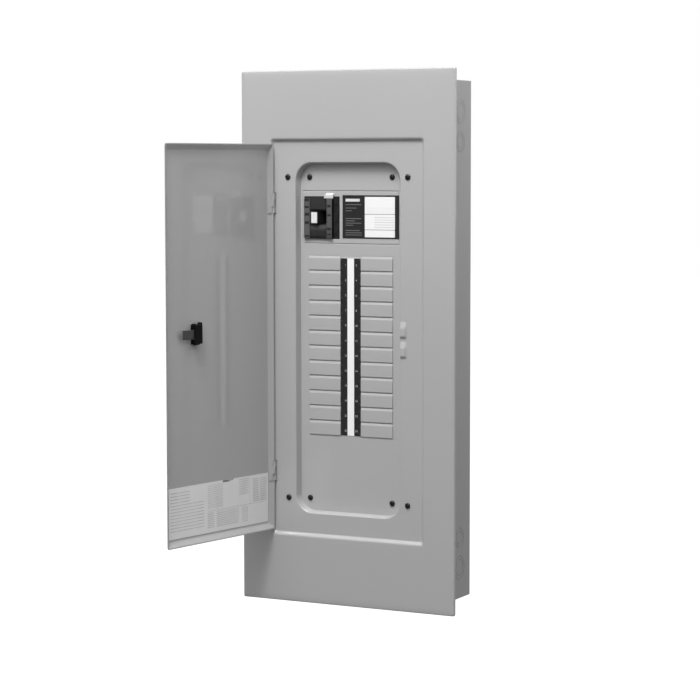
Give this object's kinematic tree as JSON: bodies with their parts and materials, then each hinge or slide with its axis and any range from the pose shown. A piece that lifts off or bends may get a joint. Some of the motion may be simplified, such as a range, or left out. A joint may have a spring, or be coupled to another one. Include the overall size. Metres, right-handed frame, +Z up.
{
  "type": "residential load center",
  "caption": "Flush-mounted indoor load center: grey steel box and trim with a hinged latching door, dead front with closed breaker spaces, and a toggle main breaker over bus bars.",
  "frame": {"origin": "centre of the enclosure's back face", "axes": "+X to the right seen from the room, +Y into the wall, +Z up; the front faces -Y"},
  "size_m": [0.4, 0.3775, 0.9018],
  "materials": {
    "trim_paint": "satin grey paint",
    "box_paint": "satin grey paint",
    "black_screw": "black oxide",
    "zinc_steel": "zinc plated",
    "bus_metal": "tin plated",
    "copper_contact": "bare",
    "insulator": "moulded",
    "breaker_black": "moulded",
    "handle_white": "moulded",
    "latch_black": "moulded",
    "retainer_light": "satin",
    "label_print": "printed label",
    "strip_print": "printed label"
  },
  "bodies": {
    "enclosure": {"bonding_screw": "zinc_steel", "bottom_end_wall": "box_paint", "bus_bar_screws": "zinc_steel", "bus_insulators": "insulator", "circuit_number_strip": "strip_print", "dead_front": "trim_paint", "dead_front_screws": "black_screw", "enclosure_wrap": "box_paint", "ground_bar": "bus_metal", "ground_bar_screws": "zinc_steel", "handle_pin": "zinc_steel", "hook_rail_screws": "zinc_steel", "interior_pan": "zinc_steel", "left_bus_bar": "bus_metal", "left_hook_rail": "zinc_steel", "left_neutral_bar": "bus_metal", "left_twist_outs": "trim_paint", "line_lug_screws": "bus_metal", "line_lugs": "bus_metal", "load_strap_bolts": "zinc_steel", "load_straps": "bus_metal", "lower_hinge_cover_leaf": "trim_paint", "lower_hinge_pin": "zinc_steel", "lower_support_rail": "zinc_steel", "main_breaker_base": "breaker_black", "main_breaker_cover": "breaker_black", "main_breaker_mount": "zinc_steel", "main_breaker_retainer": "retainer_light", "neutral_bar_posts": "insulator", "neutral_bar_screws": "zinc_steel", "neutral_lug": "bus_metal", "neutral_lug_screw": "bus_metal", "neutral_strap": "bus_metal", "neutral_strap_bolts": "zinc_steel", "rating_label": "label_print", "right_bus_bar": "bus_metal", "right_hook_rail": "zinc_steel", "right_neutral_bar": "bus_metal", "right_twist_outs": "trim_paint", "top_end_wall": "box_paint", "trim_cover": "trim_paint", "trim_screws": "black_screw", "upper_hinge_cover_leaf": "trim_paint", "upper_hinge_pin": "zinc_steel", "upper_support_rail": "zinc_steel"},
    "door": {"door_panel": "trim_paint", "latch_housing": "latch_black", "directory_label": "label_print", "upper_hinge_door_leaf": "trim_paint", "lower_hinge_door_leaf": "trim_paint"},
    "latch": {"latch_slide": "latch_black"},
    "handle": {"main_breaker_handle": "handle_white"},
    "contacts": {"contact_crossbar": "insulator", "moving_contact_arms": "copper_contact"}
  },
  "joints": [
    {"name": "door_hinge", "type": "hinge", "parent": "enclosure", "child": "door", "pos_m": [-0.13973, -0.10227, 0], "axis": [0, 0, 1], "range_deg": [-30.5, 99.5]},
    {"name": "latch_slide", "type": "slide", "parent": "door", "child": "latch", "axis": [-0.165, -0.9863, 0], "range_m": [0, 0.009]},
    {"name": "handle_throw", "type": "hinge", "parent": "enclosure", "child": "handle", "pos_m": [-0.0575, -0.066, 0.2043], "axis": [0, 0, 1], "range_deg": [0, 28]},
    {"name": "contact_swing", "type": "hinge", "parent": "enclosure", "child": "contacts", "pos_m": [-0.04, -0.046, 0.2043], "axis": [0, 0, 1], "range_deg": [-20, 0]}
  ],
  "couplings": [
    {"joint": "contact_swing", "follows": "handle_throw", "ratio": -0.71428}
  ]
}
